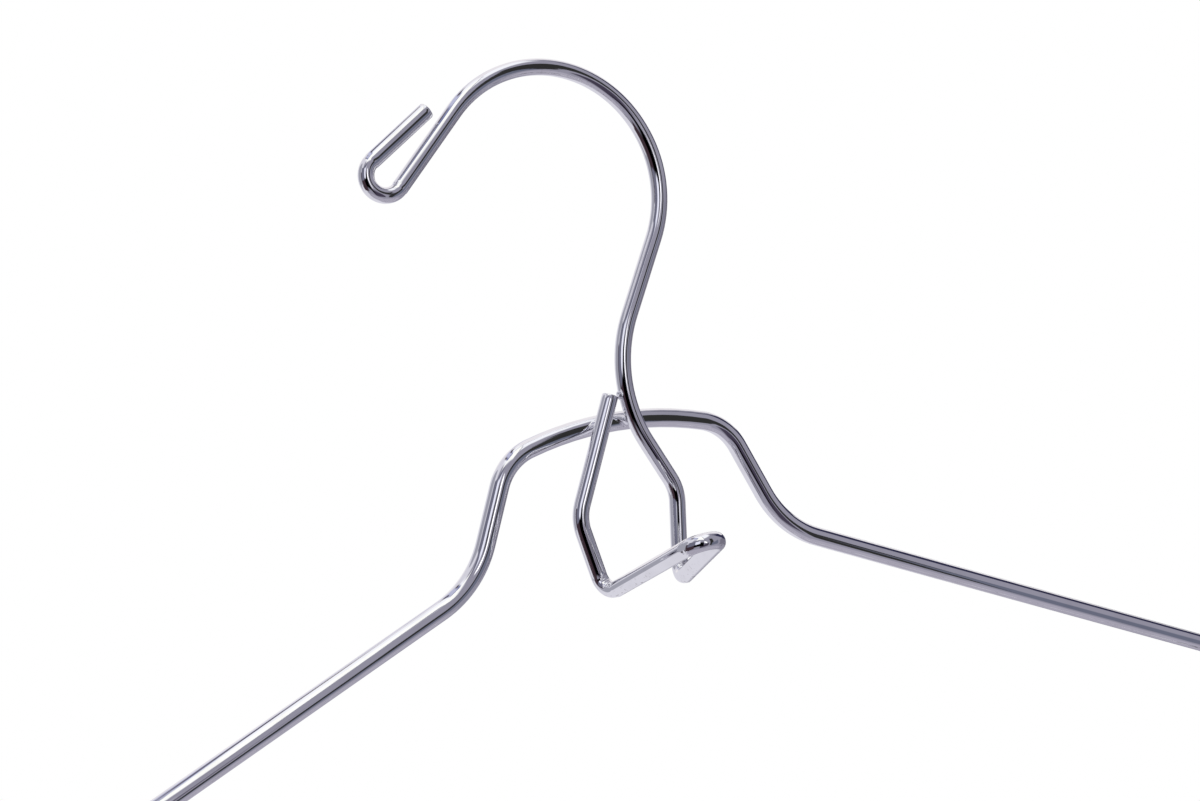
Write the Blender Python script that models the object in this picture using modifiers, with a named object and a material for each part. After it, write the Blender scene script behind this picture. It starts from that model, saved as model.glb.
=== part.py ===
"""Stackable clip hanger: a hook wire welded to a wire frame, with two spring clips on its bar.

Metres, +Z up. X runs along the lower bar and the stacking loop points to -Y. The origin is the
inside of the hook's crown, where the hanger hangs on a rail, in the plane of the hook wire.
"""
import math

import bmesh
import bpy
import numpy as np
from mathutils import Matrix, Vector

# Wire stock
HOOK_WIRE = 0.0034
FRAME_WIRE = 0.0040
WELD_GAP = 0.0003

# Hook, neck and folded tip, all bends measured on the wire's centreline
HOOK_INSIDE = 0.0470
HOOK_FRONT_SWEEP = 45.9
HOOK_BACK_SWEEP = 118.3
NECK_STRAIGHT = 0.0169
NECK_RADIUS = 0.0288
NECK_SWEEP = 55.0
TIP_STRAIGHT = 0.0197
TIP_RADIUS = 0.0038
TIP_SWEEP = 191.0
TIP_RETURN = 0.0158

# Where the neck crosses the bridge, and where the left leg ends against the neck
WELD_SWEEP = 44.3
WELD_OFFSET = 0.0025
LEG_END_SWEEP = 32.4

# Stacking loop
LOOP_SHIFT = 0.0011
RIGHT_LEG = 0.0120
LEFT_ELBOW_HALF_WIDTH = 0.0122
LEFT_ELBOW_DROP = 0.0181
FOOT_HALF_WIDTH = 0.0087
FOOT_DROP = 0.0344
NOSE_REACH = 0.0450
NOSE_RISE = 0.0151
ELBOW_RADIUS = 0.0090
FOOT_RADIUS = 0.0031
NOSE_RADIUS = 0.0034

# Frame: raised bridge, risers, shoulders, rounded ends and lower bar
HANGER_WIDTH = 0.4200
BRIDGE_RADIUS = 0.0769
BRIDGE_HALF_SWEEP = 15.2
RISER_TOP_RADIUS = 0.0117
RISER_SLOPE = 66.4
RISER_STRAIGHT = 0.0119
RISER_FOOT_RADIUS = 0.0217
SHOULDER_SLOPE = 22.9
END_RADIUS = 0.0120

# Clips, as distances from the bar's axis: "out" is away from the other jaw, "up" is towards the tabs
CLIP_END_ROOM = 0.0140
SHEET = 0.0009
SEAT_GAP = 0.0003
TUBE_WALL = 0.0005
TUBE_FLANGE_HEIGHT = 0.0012
TUBE_FLANGE_THICKNESS = 0.0005
SPRING_WIRE = 0.0013
SPRING_COIL_GAP = 0.00045
SPRING_TUBE_GAP = 0.0004
SPRING_TURNS = 5
SPRING_LEG = 0.0120
FRONT_EAR_OUTSIDE = 0.0100
EAR_BEND = 0.0012
EAR_REACH = 0.0047
JAW_CLEARANCE = 0.0011
TAB_TOP_UP = 0.0175
TAB_ROOT_UP = 0.0034
TAB_LEAN = 15.5
TAB_TOP_HALF_WIDTH = 0.0088
THROAT_DROP = 0.0072
MOUTH_DROP = 0.0200
LIP_DROP = 0.0310
MOUTH_HALF_WIDTH = 0.0130
SHEET_BEND = 0.0040
CORNER_RADIUS = 0.0032
SIDE_FLANGE = 0.0012
RIB_HEIGHT = 0.0007
RIB_HALF_WIDTH = 0.0034
RIB_TOP_UP = 0.0135
RIB_BOTTOM_DROP = 0.0175
RIB_RAMP = 0.0030
PAD_WALL = 0.0010
PAD_GRIP_WALL = 0.0015
PAD_TOP_DROP = 0.0213
PAD_GROOVES = 4
PAD_GROOVE = 0.0008
PAD_ROUNDING = 0.0007

# Fineness of the round stretches
BEND_STEP = 9.0
ROUND_SIDES = 32

HOOK_RADIUS = (HOOK_INSIDE + HOOK_WIRE) / 2
FRAME_PLANE = (HOOK_WIRE + FRAME_WIRE) / 2 + WELD_GAP


def bent_path(start, heading, steps):
    """Points of a wire bent in one plane, and the heading at its end in degrees.

    A step is (length, 0) for a straight run, or (radius, turn) for a bend, left turns positive.
    """
    points = [Vector(start)]
    angle = math.radians(heading)
    for size, turn in steps:
        here = points[-1]
        if turn == 0:
            points.append(here + size * Vector((math.cos(angle), math.sin(angle))))
            continue
        side = math.copysign(1, turn)
        centre = here + side * size * Vector((-math.sin(angle), math.cos(angle)))
        count = max(2, math.ceil(abs(turn) / BEND_STEP))
        for k in range(1, count + 1):
            now = angle + math.radians(turn) * k / count
            points.append(centre + side * size * Vector((math.sin(now), -math.cos(now))))
        angle += math.radians(turn)
    return points, math.degrees(angle)


def round_corners(corners, radii):
    """The points of a line through corners, each inner corner rounded to its radius."""
    points = [corners[0]]
    for before, corner, after, radius in zip(corners, corners[1:], corners[2:], radii):
        back = (before - corner).normalized()
        ahead = (after - corner).normalized()
        turn = math.pi - back.angle(ahead)
        setback = radius * math.tan(turn / 2)
        centre = corner + (back + ahead).normalized() * radius / math.cos(turn / 2)
        first = corner + back * setback - centre
        across = (-back * radius).normalized()
        count = max(2, math.ceil(math.degrees(turn) / BEND_STEP))
        for k in range(count + 1):
            now = turn * k / count
            points.append(centre + first * math.cos(now) + across * radius * math.sin(now))
    points.append(corners[-1])
    return points


def in_plane(points, y):
    """Flat points, across and up, stood up in the plane at y."""
    return [Vector((p.x, y, p.y)) for p in points]


def finish(name, colour, metallic, roughness):
    """A plain surface finish."""
    material = bpy.data.materials.new(name)
    material.use_nodes = True
    shader = material.node_tree.nodes["Principled BSDF"]
    shader.inputs["Base Color"].default_value = (*colour, 1.0)
    shader.inputs["Metallic"].default_value = metallic
    shader.inputs["Roughness"].default_value = roughness
    return material


def add_object(name, data, collection, material, parent):
    """An object in its collection, riding on its parent and placed at the parent's origin."""
    piece = bpy.data.objects.new(name, data)
    collection.objects.link(piece)
    if material:
        piece.data.materials.append(material)
    piece.parent = parent
    return piece


def round_wire(name, points, diameter, collection, material, parent=None, closed=False, facets=4):
    """A round wire along the points, with flat cut ends unless it is a closed ring."""
    curve = bpy.data.curves.new(name, "CURVE")
    curve.dimensions = "3D"
    curve.resolution_u = 1
    curve.bevel_depth = diameter / 2
    curve.bevel_resolution = facets
    curve.use_fill_caps = not closed
    line = curve.splines.new("POLY")
    line.points.add(len(points) - 1)
    line.points.foreach_set("co", [value for p in points for value in (*p, 1.0)])
    line.use_cyclic_u = closed
    line.use_smooth = True
    return add_object(name, curve, collection, material, parent)


# Hook wire

def neck_point(sweep):
    """The wire down to so many degrees into the neck's bend, with the heading and left there."""
    down_the_back = [(HOOK_RADIUS, -HOOK_BACK_SWEEP), (NECK_STRAIGHT, 0), (NECK_RADIUS, sweep)]
    points, heading = bent_path((0, HOOK_WIRE / 2), 0, down_the_back)
    angle = math.radians(heading - 90)
    return points, heading, Vector((math.cos(angle), math.sin(angle)))


def hook_wire_points():
    """The whole hook wire, from the folded tip over the hook and round the stacking loop."""
    tip_steps = [(HOOK_RADIUS, HOOK_FRONT_SWEEP), (TIP_STRAIGHT, 0), (TIP_RADIUS, -TIP_SWEEP),
                 (TIP_RETURN, 0)]
    front, _ = bent_path((0, HOOK_WIRE / 2), 180, tip_steps)
    back, heading, _ = neck_point(NECK_SWEEP)
    upper = in_plane(list(reversed(front))[:-1] + back, 0)

    middle = BRIDGE.x - LOOP_SHIFT
    leg = Vector((math.cos(math.radians(heading)), math.sin(math.radians(heading))))
    right_elbow = back[-1] + leg * RIGHT_LEG
    touch, _, left = neck_point(LEG_END_SWEEP)
    leg_end = touch[-1] + left * (HOOK_WIRE + WELD_GAP)
    foot_up = BRIDGE.y - FOOT_DROP
    corners = [
        Vector((back[-1].x, 0, back[-1].y)),
        Vector((right_elbow.x, 0, right_elbow.y)),
        Vector((middle + FOOT_HALF_WIDTH, 0, foot_up)),
        Vector((middle, -NOSE_REACH, foot_up + NOSE_RISE)),
        Vector((middle - FOOT_HALF_WIDTH, 0, foot_up)),
        Vector((middle - LEFT_ELBOW_HALF_WIDTH, 0, BRIDGE.y - LEFT_ELBOW_DROP)),
        Vector((leg_end.x, 0, leg_end.y)),
    ]
    radii = [ELBOW_RADIUS, FOOT_RADIUS, NOSE_RADIUS, FOOT_RADIUS, ELBOW_RADIUS]
    return upper[:-1] + round_corners(corners, radii)


WELD = neck_point(WELD_SWEEP)[0][-1]
BRIDGE = Vector((WELD.x - WELD_OFFSET, WELD.y))


# Frame wire

BAR_HALF = (HANGER_WIDTH - FRAME_WIRE) / 2 - END_RADIUS


def frame_half_points():
    """The frame's right half, from the middle of the bridge to the middle of the bar."""
    to_shoulder = [
        (BRIDGE_RADIUS, -BRIDGE_HALF_SWEEP),
        (RISER_TOP_RADIUS, BRIDGE_HALF_SWEEP - RISER_SLOPE),
        (RISER_STRAIGHT, 0),
        (RISER_FOOT_RADIUS, RISER_SLOPE - SHOULDER_SLOPE),
    ]
    foot, _ = bent_path((0, 0), 0, to_shoulder)
    slope = math.radians(SHOULDER_SLOPE)
    shoulder = (BAR_HALF + END_RADIUS * math.sin(slope) - foot[-1].x) / math.cos(slope)
    round_the_end = [(shoulder, 0), (END_RADIUS, SHOULDER_SLOPE - 180), (BAR_HALF, 0)]
    points, _ = bent_path((0, 0), 0, to_shoulder + round_the_end)
    return points


def frame_wire_points():
    """The closed ring of frame wire, its left half mirrored from the right."""
    right = frame_half_points()
    left = [Vector((-p.x, p.y)) for p in reversed(right[1:-1])]
    return in_plane([p + BRIDGE for p in right + left], FRAME_PLANE)


# Clips. Every size below is measured from the bar's axis, which is the clip's own origin.

TUBE_BORE = FRAME_WIRE / 2 + SEAT_GAP
TUBE_OUTSIDE = TUBE_BORE + TUBE_WALL
SPRING_RADIUS = TUBE_OUTSIDE + SPRING_TUBE_GAP + SPRING_WIRE / 2
JAW_INSIDE = SPRING_RADIUS + SPRING_WIRE / 2 + JAW_CLEARANCE
REAR_EAR_OUTSIDE = FRONT_EAR_OUTSIDE + SEAT_GAP + SHEET
FLANGE_INSIDE = REAR_EAR_OUTSIDE + SEAT_GAP
LIP_INSIDE = SEAT_GAP / 2 + PAD_GRIP_WALL + SEAT_GAP
TUBE_END = FLANGE_INSIDE + TUBE_FLANGE_THICKNESS
CLIP_STATION = BAR_HALF - CLIP_END_ROOM - TUBE_END


def shade(piece):
    """Smooth shading that leaves the broad flat faces looking flat."""
    piece.data.shade_smooth()
    step = piece.modifiers.new("shading", "WEIGHTED_NORMAL")
    step.keep_sharp = True


def pivot_tube(name, collection, material, parent):
    """A hollow rivet: a turned tube with a flange at each end, standing along the bar."""
    inner, outer = TUBE_BORE, TUBE_OUTSIDE
    flange = outer + TUBE_FLANGE_HEIGHT
    low, high = FLANGE_INSIDE, TUBE_END
    corners = [(inner, high), (flange, high), (flange, low), (outer, low),
               (outer, -low), (flange, -low), (flange, -high), (inner, -high)]
    mesh = bpy.data.meshes.new(name)
    edges = [(k, (k + 1) % len(corners)) for k in range(len(corners))]
    mesh.from_pydata([(radius, 0, along) for radius, along in corners], edges, [])
    piece = add_object(name, mesh, collection, material, parent)
    piece.rotation_euler = (0, math.radians(90), 0)
    turn = piece.modifiers.new("turned", "SCREW")
    turn.axis = "Z"
    turn.steps = ROUND_SIDES
    turn.render_steps = ROUND_SIDES
    turn.use_merge_vertices = True
    turn.merge_threshold = 0.00001
    shade(piece)
    return piece


def jaw_profile():
    """The inside line of a jaw, (out, up), from the top of its tab down to its lip."""
    tab_top_out = JAW_INSIDE + (TAB_TOP_UP - TAB_ROOT_UP) * math.tan(math.radians(TAB_LEAN))
    corners = [(tab_top_out, TAB_TOP_UP), (JAW_INSIDE, TAB_ROOT_UP), (JAW_INSIDE, -THROAT_DROP),
               (LIP_INSIDE, -MOUTH_DROP), (LIP_INSIDE, -LIP_DROP)]
    return [Vector(corner) for corner in corners]


def eased(share):
    """A share of the way, held between 0 and 1, with a soft start and stop."""
    share = np.clip(share, 0, 1)
    return share ** 2 * (3 - 2 * share)


def jaw_rows():
    """The inside line as rows of a formed sheet, closer together at bends, ears and corners."""
    corners = jaw_profile()
    line = round_corners(corners, [SHEET_BEND] * 3)
    marks = [0.0]
    for before, after in zip(line, line[1:]):
        marks.append(marks[-1] + (after - before).length)
    marks = np.array(marks)
    outs = np.array([p.x for p in line])
    ups = np.array([p.y for p in line])
    rounding = CORNER_RADIUS * (1 - np.cos(np.radians([0, 25, 45, 65, 90])))
    ear_heights = [EAR_REACH * math.cos(math.radians(turn)) for turn in range(0, 181, 20)]
    root_heights = [side * EAR_REACH * share for side in (-1, 1) for share in (1.15, 1.35, 1.6)]
    ramp = [0, RIB_RAMP / 2, RIB_RAMP]
    rib_heights = [RIB_TOP_UP - run for run in ramp] + [run - RIB_BOTTOM_DROP for run in ramp]
    heights = np.interp(ear_heights + root_heights + rib_heights, ups[::-1], marks[::-1])
    wanted = np.concatenate([rounding, marks[-1] - rounding, heights, marks[1:-1]])
    wanted = np.unique(np.round(np.sort(wanted), 5))
    keep = np.concatenate([[True], np.diff(wanted) > 0.00025])
    stations = wanted[keep]
    stations[-1] = marks[-1]
    return stations, np.interp(stations, marks, outs), np.interp(stations, marks, ups)


def jaw_sheet(side, ear_outside):
    """The middle surface of a pressed jaw, as an open grid of rows and columns.

    Down the rows it follows the jaw's profile. Across, each row is a flat strip with a pressed
    rib, then a bend and a flange at either edge. The flange deepens into the ear at the pivot.
    """
    stations, outs, ups = jaw_rows()
    slopes = np.gradient(np.stack([outs, ups], axis=1), stations, axis=0)
    slopes /= np.linalg.norm(slopes, axis=1)[:, None]
    normals = np.stack([-slopes[:, 1], slopes[:, 0]], axis=1)
    middle = np.stack([outs, ups], axis=1) + normals * SHEET / 2

    edge = ear_outside - SHEET / 2
    width = np.interp(-ups, [-TAB_TOP_UP, -TAB_ROOT_UP, THROAT_DROP, MOUTH_DROP],
                      [TAB_TOP_HALF_WIDTH, edge, edge, MOUTH_HALF_WIDTH])
    for end in (stations, stations[-1] - stations):
        inset = np.clip(1 - end / CORNER_RADIUS, 0, 1)
        width -= CORNER_RADIUS * (1 - np.sqrt(1 - inset ** 2))

    ear_depth = middle[:, 0] + np.sqrt(np.clip(EAR_REACH ** 2 - ups ** 2, 0, None))
    fade = 0.6 * EAR_REACH
    beyond = np.clip((np.abs(ups) - EAR_REACH) / fade, 0, 1)
    earness = (1 - beyond) ** 2
    from_ends = np.minimum(stations, stations[-1] - (LIP_DROP - MOUTH_DROP) - stations)
    plain = SIDE_FLANGE * np.clip(from_ends / (2 * CORNER_RADIUS) - 0.5, 0, 1)
    depth = np.maximum(ear_depth * earness, plain)
    level = np.stack([np.ones_like(ups), np.zeros_like(ups)], axis=1)
    flange_way = normals + (level - normals) * earness[:, None]

    rib = eased((RIB_TOP_UP - ups) / RIB_RAMP) * eased((ups + RIB_BOTTOM_DROP) / RIB_RAMP)
    bend = np.minimum(EAR_BEND, depth)
    spare = EAR_BEND - bend
    columns = []
    for share in (-1.0, -0.45, 0.0, 0.45, 1.0):
        rise = RIB_HEIGHT * rib * (1 - share ** 2)
        columns.append((share * RIB_HALF_WIDTH * np.ones_like(ups), rise[:, None] * normals))
    turns = (0.0, 45.0, 90.0)
    for step, turn in enumerate(turns):
        across = width - bend * (1 - math.sin(math.radians(turn))) - spare * (1 - step / len(turns))
        inward = bend * (1 - math.cos(math.radians(turn)))
        columns.append((across, -inward[:, None] * flange_way))
    columns.append((width, -depth[:, None] * flange_way))
    columns = [(-across, shift) for across, shift in reversed(columns[5:])] + columns

    grid = np.zeros((len(stations), len(columns), 3))
    for k, (across, shift) in enumerate(columns):
        grid[:, k, 0] = across
        grid[:, k, 1] = side * (middle[:, 0] + shift[:, 0])
        grid[:, k, 2] = middle[:, 1] + shift[:, 1]
    return grid


def add_cylinder(name, radius, depth, collection):
    """A round cutter along X, hidden from the finished part."""
    mesh = bpy.data.meshes.new(name)
    shape = bmesh.new()
    bmesh.ops.create_cone(shape, cap_ends=True, segments=ROUND_SIDES, radius1=radius,
                          radius2=radius, depth=depth)
    shape.to_mesh(mesh)
    shape.free()
    cutter = add_object(name, mesh, collection, None, None)
    cutter.rotation_euler = (0, math.radians(90), 0)
    return as_cutter(cutter)


def as_cutter(cutter):
    """The same object, hidden from the finished part and drawn as wire."""
    cutter.hide_render = True
    cutter.display_type = "WIRE"
    return cutter


def cut(piece, cutter):
    """Take the cutter's shape out of the piece."""
    step = piece.modifiers.new(cutter.name, "BOOLEAN")
    step.operation = "DIFFERENCE"
    step.solver = "EXACT"
    step.object = cutter


def jaw(name, side, ear_outside, collection, material, parent, cutter):
    """A pressed jaw: the formed sheet given its thickness, with the pivot hole through its ears."""
    grid = jaw_sheet(side, ear_outside)
    rows, columns = grid.shape[:2]
    mesh = bpy.data.meshes.new(name)
    shape = bmesh.new()
    bmesh.ops.create_grid(shape, x_segments=columns - 1, y_segments=rows - 1, size=1)
    shape.verts.ensure_lookup_table()
    for row in range(rows):
        for column in range(columns):
            shape.verts[row * columns + column].co = grid[row, column]
    if side > 0:
        bmesh.ops.reverse_faces(shape, faces=shape.faces)
    shape.to_mesh(mesh)
    shape.free()
    piece = add_object(name, mesh, collection, material, parent)
    wall = piece.modifiers.new("sheet", "SOLIDIFY")
    wall.thickness = SHEET
    wall.offset = 0
    wall.use_even_offset = True
    cut(piece, cutter)
    shade(piece)
    return piece


def torsion_spring(name, collection, material, parent):
    """A torsion spring round the tube: each leg leaves the coil on a tangent, up to its tab."""
    tab_top, tab_root = jaw_profile()[:2]
    tab = (tab_top - tab_root).normalized()
    tab_lean = math.atan2(tab.x, tab.y)
    tab_distance = tab_root.x * math.cos(tab_lean) - tab_root.y * math.sin(tab_lean)
    seat = tab_distance - SPRING_WIRE / 2 - SEAT_GAP
    reach = math.hypot(SPRING_RADIUS, SPRING_LEG)
    off_tab = math.acos(seat / reach) - math.atan2(SPRING_LEG, SPRING_RADIUS)
    lean = tab_lean - off_tab

    start = lean - math.pi
    end = 2 * math.pi * SPRING_TURNS - lean
    turns = (end - start) / (2 * math.pi)
    length = turns * (SPRING_WIRE + SPRING_COIL_GAP)
    count = math.ceil(turns * 10)
    points = []
    for k in range(count + 1):
        angle = start + (end - start) * k / count
        along = length * (k / count - 0.5)
        points.append(Vector((along, SPRING_RADIUS * math.cos(angle), SPRING_RADIUS * math.sin(angle))))
    front_leg = Vector((0, -math.sin(lean), math.cos(lean))) * SPRING_LEG
    rear_leg = Vector((0, math.sin(lean), math.cos(lean))) * SPRING_LEG
    points = [points[0] + front_leg] + points + [points[-1] + rear_leg]
    spring = round_wire(name, points, SPRING_WIRE, collection, material, parent, facets=1)
    return spring, least_gap(points, SPRING_WIRE, 7)


def least_gap(points, diameter, apart):
    """The least distance between a wire's surface and itself, past so many points along it."""
    dense = []
    for before, after in zip(points, points[1:]):
        dense += [before.lerp(after, k / 6) for k in range(6)]
    places = np.array(dense + [points[-1]])
    gaps = np.linalg.norm(places[:, None] - places[None, :], axis=2)
    number = np.arange(len(places))
    gaps[np.abs(number[:, None] - number[None, :]) < apart * 6] = np.inf
    return float(gaps.min()) - diameter


def add_blocks(name, blocks, turn, collection, parent):
    """Boxes in one mesh, each given by its centre and size and turned by an angle about X."""
    mesh = bpy.data.meshes.new(name)
    shape = bmesh.new()
    for centre, size in blocks:
        made = bmesh.ops.create_cube(shape, size=1)["verts"]
        bmesh.ops.scale(shape, vec=size, verts=made)
        bmesh.ops.rotate(shape, matrix=Matrix.Rotation(turn, 3, "X"), verts=made)
        bmesh.ops.translate(shape, vec=centre, verts=made)
    shape.to_mesh(mesh)
    shape.free()
    return add_object(name, mesh, collection, None, parent)


def pad(name, side, collection, material, parent, cutters):
    """A vinyl boot: a soft-edged block with a pocket for the jaw's lip and a grooved grip face."""
    grip = SEAT_GAP / 2
    back = LIP_INSIDE + SHEET + SEAT_GAP + PAD_WALL
    foot = -(LIP_DROP + SEAT_GAP + PAD_WALL)
    height = -PAD_TOP_DROP - foot
    length = 2 * (MOUTH_HALF_WIDTH + SEAT_GAP + PAD_WALL)
    body = (Vector((0, side * (grip + back) / 2, foot + height / 2)), Vector((length, back - grip, height)))
    piece = add_blocks(name, [body], 0, collection, parent)
    piece.data.materials.append(material)
    edges = piece.modifiers.new("soft edges", "BEVEL")
    edges.width = PAD_ROUNDING
    edges.segments = 3
    edges.limit_method = "NONE"

    room = SHEET + 2 * SEAT_GAP
    floor = -LIP_DROP - SEAT_GAP
    pocket = (Vector((0, side * (LIP_INSIDE + SHEET / 2), 0)),
              Vector((length - 2 * PAD_WALL, room, -2 * floor)))
    cut(piece, as_cutter(add_blocks(name + "_pocket", [pocket], 0, cutters, parent)))

    # Square bars stood on edge leave grooves half as deep as they are wide.
    bar = PAD_GROOVE / math.sqrt(2)
    pitch = height / (PAD_GROOVES + 1)
    bars = [(Vector((0, side * grip, foot + pitch * k)), Vector((2 * MOUTH_HALF_WIDTH, bar, bar)))
            for k in range(1, PAD_GROOVES + 1)]
    cut(piece, as_cutter(add_blocks(name + "_grooves", bars, math.radians(45), cutters, parent)))
    shade(piece)
    return piece


def clip(label, station, bar_up, parts, cutters, finishes):
    """One clip on the bar: tube, two jaws, spring and two boots, all turning about the bar."""
    pivot = bpy.data.objects.new(label + "_clip_pivot", None)
    parts.objects.link(pivot)
    pivot.location = (station, FRAME_PLANE, bar_up)
    hole = add_cylinder(label + "_pivot_hole", TUBE_OUTSIDE + SEAT_GAP, 4 * REAR_EAR_OUTSIDE, cutters)
    hole.parent = pivot
    pivot_tube(label + "_pivot_tube", parts, finishes["rivet"], pivot)
    jaw(label + "_rear_jaw", 1, REAR_EAR_OUTSIDE, parts, finishes["pressed steel"], pivot, hole)
    jaw(label + "_front_jaw", -1, FRONT_EAR_OUTSIDE, parts, finishes["pressed steel"], pivot, hole)
    _, gap = torsion_spring(label + "_spring", parts, finishes["spring steel"], pivot)
    print(label, "spring: least gap to itself", round(gap * 1000, 2), "mm")
    pad(label + "_rear_pad", 1, parts, finishes["vinyl"], pivot, cutters)
    pad(label + "_front_pad", -1, parts, finishes["vinyl"], pivot, cutters)


def build():
    """Model the whole hanger."""
    for leftover in list(bpy.data.objects):
        bpy.data.objects.remove(leftover)
    parts = bpy.data.collections.new("stackable clip hanger")
    cutters = bpy.data.collections.new("cutters")
    bpy.context.scene.collection.children.link(parts)
    bpy.context.scene.collection.children.link(cutters)
    finishes = {
        "chrome wire": finish("chrome wire", (0.80, 0.80, 0.82), 1.0, 0.10),
        "pressed steel": finish("pressed steel", (0.76, 0.76, 0.78), 1.0, 0.18),
        "rivet": finish("rivet", (0.70, 0.70, 0.72), 1.0, 0.25),
        "spring steel": finish("spring steel", (0.60, 0.60, 0.62), 1.0, 0.22),
        "vinyl": finish("vinyl", (0.02, 0.02, 0.022), 0.0, 0.45),
    }
    round_wire("hook_wire", hook_wire_points(), HOOK_WIRE, parts, finishes["chrome wire"])
    ring = frame_wire_points()
    round_wire("frame_wire", ring, FRAME_WIRE, parts, finishes["chrome wire"], closed=True)
    bar_up = min(p.z for p in ring)
    for label, side in (("left", -1), ("right", 1)):
        clip(label, BRIDGE.x + side * CLIP_STATION, bar_up, parts, cutters, finishes)


build()
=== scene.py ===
"""Looks of the stackable clip hanger: bright chrome wires and spring clips in a white studio.

Metres, +Z up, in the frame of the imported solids: the origin is the inside of the hook's crown,
X runs along the lower bar and the stacking loop points to -Y.
"""

import math

import bmesh
import bpy
import numpy as np
from mathutils import Matrix, Vector


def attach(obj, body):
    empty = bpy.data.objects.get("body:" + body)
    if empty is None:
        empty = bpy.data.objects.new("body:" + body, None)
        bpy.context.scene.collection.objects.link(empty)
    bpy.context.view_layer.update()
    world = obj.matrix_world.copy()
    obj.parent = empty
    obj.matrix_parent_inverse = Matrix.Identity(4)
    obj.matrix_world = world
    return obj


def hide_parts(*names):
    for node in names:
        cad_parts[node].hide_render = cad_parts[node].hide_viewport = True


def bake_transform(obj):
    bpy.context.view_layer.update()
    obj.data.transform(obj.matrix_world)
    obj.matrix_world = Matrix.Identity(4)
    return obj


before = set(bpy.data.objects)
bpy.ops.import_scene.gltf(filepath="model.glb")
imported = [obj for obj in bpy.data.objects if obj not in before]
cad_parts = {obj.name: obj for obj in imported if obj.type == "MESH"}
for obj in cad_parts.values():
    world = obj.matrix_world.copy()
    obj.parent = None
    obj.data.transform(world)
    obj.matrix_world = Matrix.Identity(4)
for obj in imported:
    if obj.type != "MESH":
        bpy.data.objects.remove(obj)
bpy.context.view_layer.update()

# Wire stock
HOOK_WIRE = 0.0034
FRAME_WIRE = 0.0040
WELD_GAP = 0.0003

# Hook, neck and folded tip, all bends measured on the wire's centreline
HOOK_INSIDE = 0.0470
HOOK_FRONT_SWEEP = 45.9
HOOK_BACK_SWEEP = 118.3
NECK_STRAIGHT = 0.0169
NECK_RADIUS = 0.0288
NECK_SWEEP = 55.0
TIP_STRAIGHT = 0.0197
TIP_RADIUS = 0.0038
TIP_SWEEP = 191.0
TIP_RETURN = 0.0158
WELD_SWEEP = 44.3
WELD_OFFSET = 0.0025
LEG_END_SWEEP = 32.4

# Stacking loop
LOOP_SHIFT = 0.0011
RIGHT_LEG = 0.0120
LEFT_ELBOW_HALF_WIDTH = 0.0122
LEFT_ELBOW_DROP = 0.0181
FOOT_HALF_WIDTH = 0.0087
FOOT_DROP = 0.0344
NOSE_REACH = 0.0450
NOSE_RISE = 0.0151
ELBOW_RADIUS = 0.0090
FOOT_RADIUS = 0.0031
NOSE_RADIUS = 0.0034

# Frame
HANGER_WIDTH = 0.4200
BRIDGE_RADIUS = 0.0769
BRIDGE_HALF_SWEEP = 15.2
RISER_TOP_RADIUS = 0.0117
RISER_SLOPE = 66.4
RISER_STRAIGHT = 0.0119
RISER_FOOT_RADIUS = 0.0217
SHOULDER_SLOPE = 22.9
END_RADIUS = 0.0120

# Marks of bending, pressing, cutting and welding. Swells are shares of the wire's radius.
CHAMFER = 0.00022
BEND_FLATTENING = 0.055
BEND_SPREADING = 0.02
PRESS_MARK_DEPTH = 0.075
PRESS_MARK_PITCH = 0.00085
BUTT_WELD_RISE = 0.022
BUTT_WELD_HALF_WIDTH = 0.0011
BUTT_SEAM_DEPTH = 0.02
BUTT_SEAM_HALF_WIDTH = 0.00022
LEG_WELD_DROP = 0.0003
NUGGET_HALF_THICKNESS = 0.0004
SCUFF_FADE_IN = 0.004
SCUFF_END = 0.019
SCUFF_FADE_OUT = 0.006
CUT_END_SCUFF = 0.35

# Clips, as distances from the bar's axis: "out" is away from the other jaw, "up" towards the tabs
CLIP_END_ROOM = 0.0140
SHEET = 0.0009
SEAT_GAP = 0.0003
TUBE_WALL = 0.0005
TUBE_FLANGE_HEIGHT = 0.0012
TUBE_FLANGE_THICKNESS = 0.0005
SPRING_WIRE = 0.0013
SPRING_COIL_GAP = 0.00045
SPRING_TUBE_GAP = 0.0004
SPRING_TURNS = 5
SPRING_LEG = 0.0120
FRONT_EAR_OUTSIDE = 0.0100
EAR_BEND = 0.0012
EAR_REACH = 0.0047
EAR_FADE = 0.6
JAW_CLEARANCE = 0.0011
TAB_TOP_UP = 0.0175
TAB_ROOT_UP = 0.0034
TAB_LEAN = 15.5
TAB_TOP_HALF_WIDTH = 0.0088
THROAT_DROP = 0.0072
MOUTH_DROP = 0.0200
LIP_DROP = 0.0310
MOUTH_HALF_WIDTH = 0.0130
SHEET_BEND = 0.0040
CORNER_RADIUS = 0.0032
SIDE_FLANGE = 0.0012
RIB_HEIGHT = 0.0007
RIB_HALF_WIDTH = 0.0034
RIB_TOP_UP = 0.0135
RIB_BOTTOM_DROP = 0.0175
RIB_RAMP = 0.0030
PAD_WALL = 0.0010
PAD_GRIP_WALL = 0.0015
PAD_TOP_DROP = 0.0213
PAD_GROOVES = 4
PAD_GROOVE = 0.0008
PAD_ROUNDING = 0.0007
PAD_SOLE_ROUNDING = 0.0013
PAD_RIM = 0.00035
PAD_POCKET = 0.0040
PAD_SQUARENESS = 0.16
SHEARED_EDGE = 0.00012

# Fineness of the surfaces
RUN_STEP = 0.0010
ARC_STEP = 3.0
WIRE_SIDES = 40
SPRING_SIDES = 16
TUBE_SIDES = 72
HOLE_SIDES = 64
BOOT_SIDES = 160
BOOT_ROWS = 90
JAW_ROWS = 90
LEAST_JAW_ROW = 0.00008
SHEET_MERGE = 0.00003

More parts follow.
